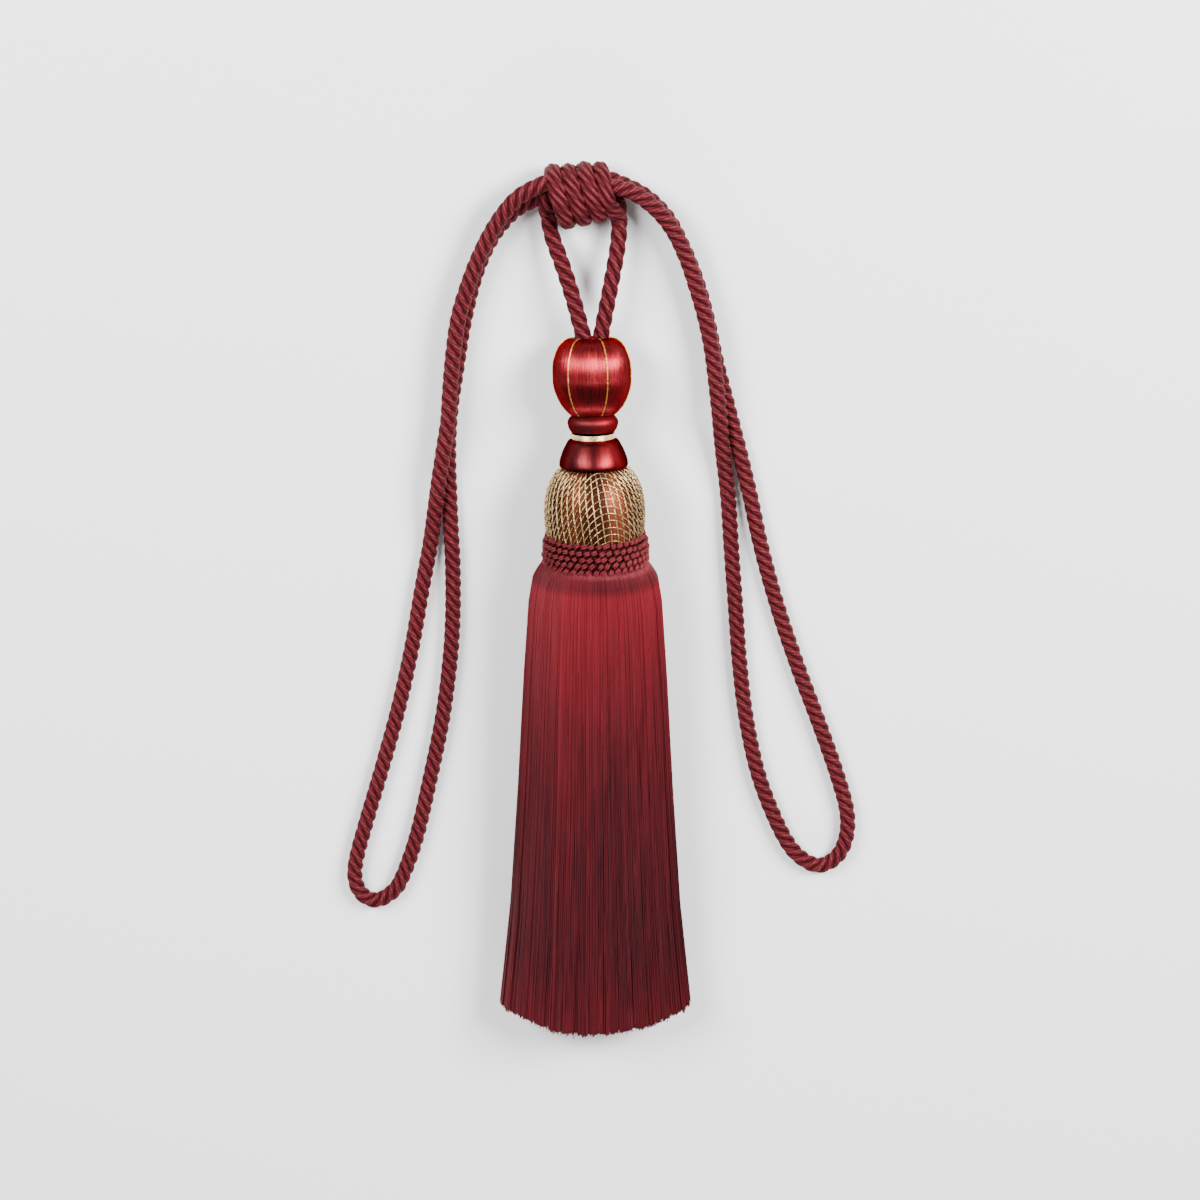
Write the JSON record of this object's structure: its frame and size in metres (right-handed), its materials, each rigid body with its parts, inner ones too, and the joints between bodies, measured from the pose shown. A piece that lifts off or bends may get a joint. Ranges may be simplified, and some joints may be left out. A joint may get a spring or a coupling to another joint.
{
  "type": "curtain tieback tassel",
  "caption": "Twisted rope tieback doubled into a loop on each side of a barrel knot, from which hangs a tassel of silk-wound moulds, a netted ball, a gimp collar and a cut fringe skirt.",
  "frame": {"origin": "on the surface the tieback lies on, below the middle of the knot and tassel together", "axes": "+Y up the tassel from the fringe to the knot, +Z away from the surface, +X to the right seen from above with the knot at the top"},
  "size_m": [0.225, 0.3873, 0.0468],
  "materials": {
    "arm_left": "four-ply rayon rope, soft sheen",
    "arm_right": "four-ply rayon rope, soft sheen",
    "leg_left": "four-ply rayon rope, soft sheen",
    "leg_right": "four-ply rayon rope, soft sheen",
    "knot": "four-ply rayon rope, soft sheen",
    "bulb": "satin silk wound over a mould",
    "bulb_thread_1": "metallic gold thread",
    "bulb_thread_2": "metallic gold thread",
    "bulb_thread_3": "metallic gold thread",
    "bulb_thread_4": "metallic gold thread",
    "bulb_thread_5": "metallic gold thread",
    "bulb_thread_6": "metallic gold thread",
    "bead": "satin silk wound over a mould",
    "band": "metallic gold thread",
    "flare": "satin silk wound over a mould",
    "ball": "gold thread net over crimson silk",
    "collar": "twisted gimp braid, soft sheen",
    "skirt": "cut rayon fringe, satin sheen"
  },
  "bodies": {
    "root": {"arm_left": "arm_left", "arm_right": "arm_right", "leg_left": "leg_left", "leg_right": "leg_right", "knot": "knot", "bulb": "bulb", "bulb_thread_1": "bulb_thread_1", "bulb_thread_2": "bulb_thread_2", "bulb_thread_3": "bulb_thread_3", "bulb_thread_4": "bulb_thread_4", "bulb_thread_5": "bulb_thread_5", "bulb_thread_6": "bulb_thread_6", "bead": "bead", "band": "band", "flare": "flare", "ball": "ball", "collar": "collar", "skirt": "skirt"}
  },
  "joints": []
}
